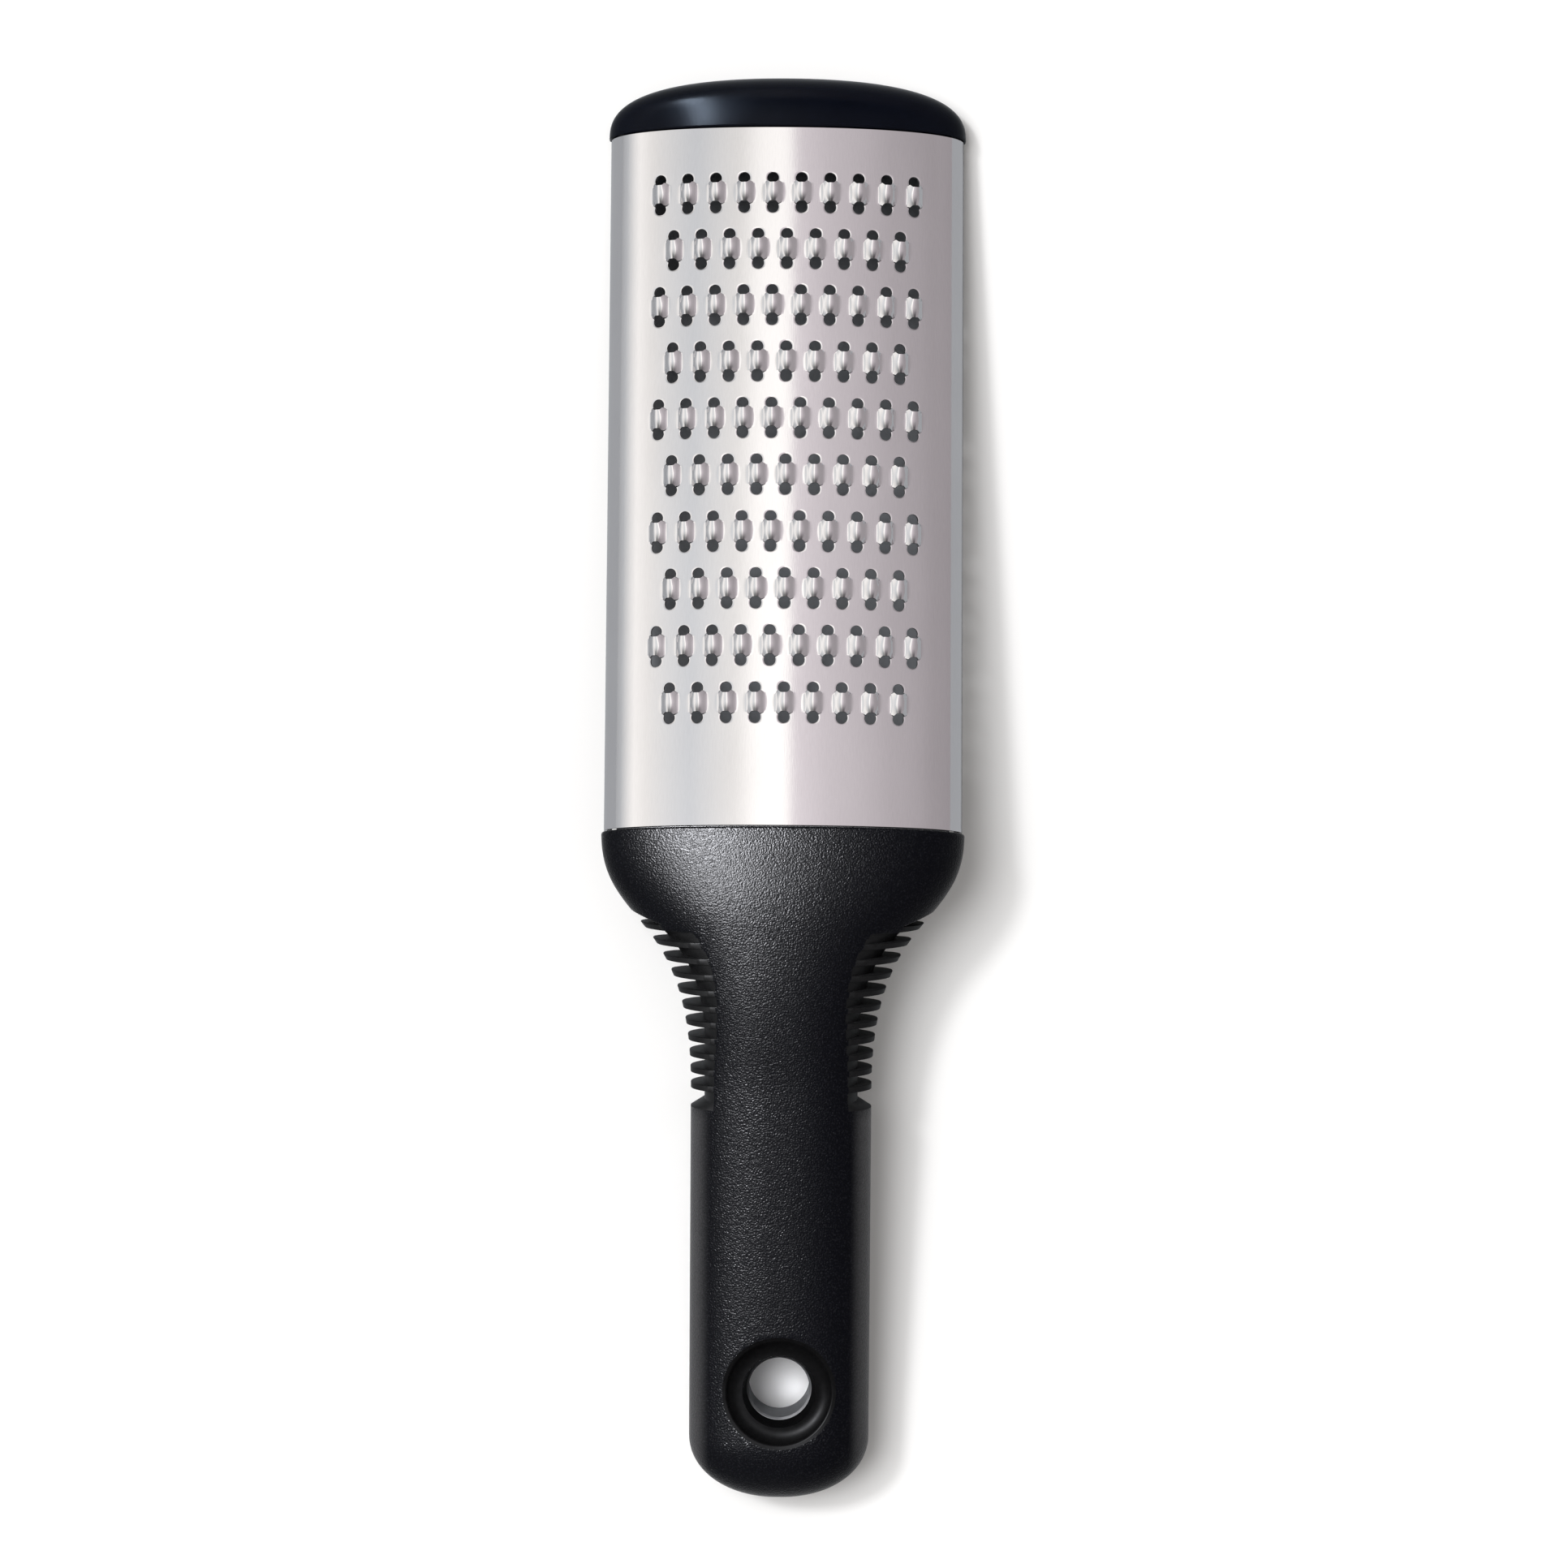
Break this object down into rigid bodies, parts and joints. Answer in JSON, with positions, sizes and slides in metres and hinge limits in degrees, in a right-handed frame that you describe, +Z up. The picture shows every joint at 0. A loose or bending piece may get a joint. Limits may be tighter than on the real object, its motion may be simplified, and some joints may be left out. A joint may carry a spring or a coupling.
{
  "type": "hand-held rasp grater",
  "caption": "Hand-held rasp grater: an arched steel blade of two-way bridge teeth, a rounded end cap on a soft foot, and a finned soft-grip handle with a hang hole.",
  "frame": {"origin": "on the table, under the middle of the grater's overall length and width", "axes": "+X across the blade, +Y along the grater from the handle to the end cap, +Z up out of the teeth"},
  "size_m": [0.071, 0.2804, 0.0336],
  "materials": {
    "blade_steel": "bright rolled stainless sheet with pressed teeth",
    "cap_plastic": "glossy blue-black moulding",
    "foot_rubber": "matt soft pad",
    "core_plastic": "satin moulding",
    "grip_rubber": "matt soft overmould with a fine spark grain"
  },
  "bodies": {
    "root": {"grating_blade": "blade_steel", "end_cap": "cap_plastic", "non_slip_foot": "foot_rubber", "handle_core": "core_plastic", "handle_grip": "grip_rubber"}
  },
  "joints": []
}
